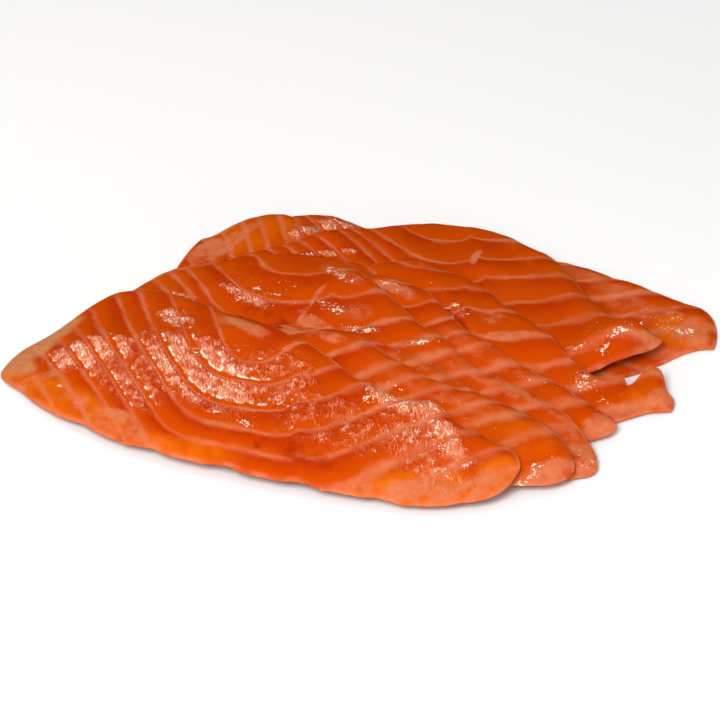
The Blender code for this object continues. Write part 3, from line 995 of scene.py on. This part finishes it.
# %% Shader
coat = flesh.times(covered, flesh.ease(oily, 0.0, 1.0, 0.38, 0.60), flesh.ease(shade, 0.15, 0.85, 0.45, 1.15))
salmon_flesh = flesh.surface({
    "Base Color": colour, "Normal": bump, "Coat Normal": bump, "Coat Weight": coat,
    "Coat Roughness": 0.12, "Coat IOR": 1.5,
    "Roughness": 0.25, "Specular IOR Level": 0.0, "IOR": 1.40,
    "Subsurface Weight": 0.4, "Subsurface Radius": (1.0, 0.28, 0.10), "Subsurface Scale": 2.0 * MM})
for piece in pieces:
    piece.data.materials.append(salmon_flesh)
print(salmon_flesh.name, "has", len(flesh.tree.nodes), "nodes and is on", len(pieces), "slices")

# %% [markdown]
# ## Camera
# The pile is low, so it is seen from 35 degrees above the board. A camera close by would make the
# near slice look bigger than the far ones. A long lens from far away keeps both ends the same size.

# %% Camera
VIEW_RISE = math.radians(35)
VIEW_DISTANCE = 5.0
FRAME_WIDTH = 244.8 * MM  # how much of the board is seen from side to side
SENSOR = 36.0
AIM = Vector((-0.1, 2.1, 0)) * MM

camera = bpy.data.cameras.new("camera")
camera.sensor_width = SENSOR
camera.lens = SENSOR * VIEW_DISTANCE / FRAME_WIDTH
camera.clip_end = 50
seen_from = bpy.data.objects.new("camera", camera)
seen_from.location = AIM + Vector((0, -math.cos(VIEW_RISE), math.sin(VIEW_RISE))) * VIEW_DISTANCE
seen_from.rotation_euler = (math.pi / 2 - VIEW_RISE, 0, 0)
bpy.context.scene.collection.objects.link(seen_from)
bpy.context.scene.camera = seen_from
print("lens:", round(camera.lens), "mm")

# %% [markdown]
# ## Floor
# Food is shown on plain white card, which throws soft light back under the rims. A bent backdrop
# isn't needed, since the camera looks down. A matt plane is enough, a hair below the slices.

# %% Floor
FLOOR_SIZE, FLOOR_DROP = 12, 0.2 * MM
bpy.ops.mesh.primitive_plane_add(size=FLOOR_SIZE, location=(0, 0, -FLOOR_DROP))
floor = bpy.context.object
floor.name = "floor"
floor.data.materials.append(
    Recipe("floor_white").surface({"Base Color": (0.96, 0.96, 0.96, 1), "Roughness": 0.8}))
print("floor", FLOOR_SIZE, "m wide")

# %% [markdown]
# ## Light
# One lamp can't both light the flesh and make the right shine: the shine needs light from behind,
# and that leaves the near rims dark. But a lamp can be told what it acts on:
# - the key is a soft box in front, a little to the left and halfway up. It lights the flesh and
#   isn't mirrored in it.
# - the sheen is a warm soft box behind the pile. It is only mirrored, and that is the wet shine.
# - the low box in front at the right puts a little light under the lifted rims.
# - a white sky fills the shadows, and isn't mirrored either.

# %% Lamps
def from_direction(side_deg, over_deg, distance):
    """A place seen from the pile: over_deg is 0 on the far horizon, 90 overhead, 180 on the near one."""
    side, over = math.radians(side_deg), math.radians(over_deg)
    return (distance * math.sin(side), distance * math.cos(side) * math.cos(over),
            distance * math.cos(side) * math.sin(over))


def add_softbox(name, place, aim, size, watts, tint=(1, 1, 1), lights_flesh=True, shines=True):
    lamp = bpy.data.lights.new(name, "AREA")
    lamp.shape, lamp.size, lamp.size_y = "RECTANGLE", size[0], size[1]
    lamp.energy, lamp.color = watts, tint
    lit_from = bpy.data.objects.new(name, lamp)
    lit_from.location = place
    lit_from.rotation_euler = (Vector(aim) - Vector(place)).to_track_quat("-Z", "Y").to_euler()
    lit_from.visible_diffuse, lit_from.visible_glossy = lights_flesh, shines
    bpy.context.scene.collection.objects.link(lit_from)
    print(name, "at", [round(value, 2) for value in place], "m,", watts, "W")


PILE = (0, 0, 0)
add_softbox("softbox_key", from_direction(-14, 132, 1.3), PILE, (0.6, 0.6), 14, shines=False)
add_softbox("softbox_sheen", from_direction(-28, 52, 1.0), PILE, (0.9, 0.7), 24,
            tint=(1.0, 0.84, 0.62), lights_flesh=False)
add_softbox("softbox_low", from_direction(30, 168, 1.2), (0.06, 0, 0), (0.5, 0.2), 3, shines=False)

# %% Sky
SKY_STRENGTH = 0.48
world = bpy.data.worlds.new("studio")
world.use_nodes = True
background = world.node_tree.nodes["Background"]
background.inputs["Color"].default_value = (1, 1, 1, 1)
background.inputs["Strength"].default_value = SKY_STRENGTH
bpy.context.scene.world = world
world.cycles_visibility.glossy = False
bpy.context.scene.view_settings.view_transform = "Standard"
print("sky strength", SKY_STRENGTH)
